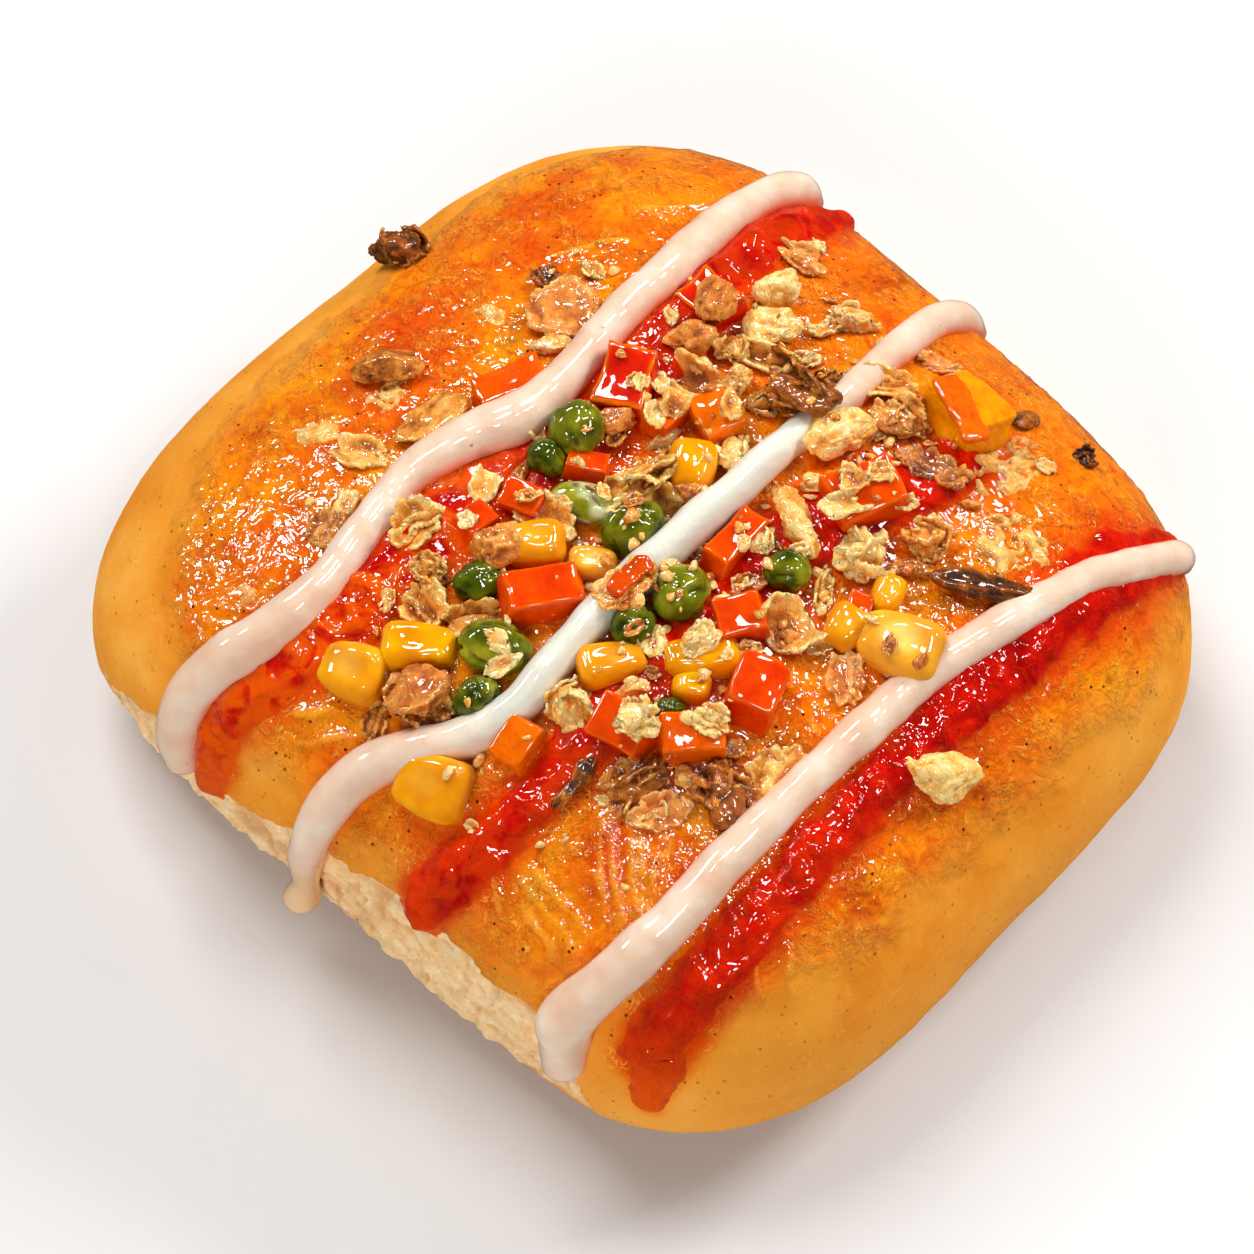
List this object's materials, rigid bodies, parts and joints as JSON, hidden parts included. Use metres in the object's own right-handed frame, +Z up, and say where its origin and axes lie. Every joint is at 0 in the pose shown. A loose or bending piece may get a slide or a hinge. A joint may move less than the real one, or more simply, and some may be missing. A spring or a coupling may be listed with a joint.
{
  "type": "pizza bun",
  "caption": "Square pull-apart bread roll with torn ends, sauce stripes along the top and a heap of peas, sweetcorn, diced carrot, pepper and fried onion.",
  "frame": {"origin": "middle of the flat base that the bun rests on", "axes": "+Z up; the sauce stripes run along Y, and the torn ends face -Y and +Y; +X is across the stripes"},
  "size_m": [0.1025, 0.0955, 0.0413],
  "materials": {
    "bun": "baked crust, glazed orange on top, cream torn crumb at the ends",
    "pea": "moist, dimpled skin",
    "corn": "moist, smooth skin",
    "carrot": "moist cut faces",
    "pepper": "wet, translucent flesh"
  },
  "bodies": {
    "root": {"bun": "bun", "pea_1": "pea", "pea_2": "pea", "pea_3": "pea", "pea_4": "pea", "pea_5": "pea", "pea_6": "pea", "pea_7": "pea", "pea_8": "pea", "pea_9": "pea", "pea_10": "pea", "pea_11": "pea", "pea_12": "pea", "corn_1": "corn", "corn_2": "corn", "corn_3": "corn", "corn_4": "corn", "corn_5": "corn", "corn_6": "corn", "corn_7": "corn", "corn_8": "corn", "corn_9": "corn", "corn_10": "corn", "corn_11": "corn", "corn_12": "corn", "carrot_1": "carrot", "carrot_2": "carrot", "carrot_3": "carrot", "carrot_4": "carrot", "carrot_5": "carrot", "carrot_6": "carrot", "carrot_7": "carrot", "carrot_8": "carrot", "carrot_9": "carrot", "carrot_10": "carrot", "carrot_11": "carrot", "carrot_12": "carrot", "carrot_13": "carrot", "carrot_14": "carrot", "carrot_15": "carrot", "pepper_1": "pepper", "pepper_2": "pepper", "pepper_3": "pepper"}
  },
  "joints": []
}
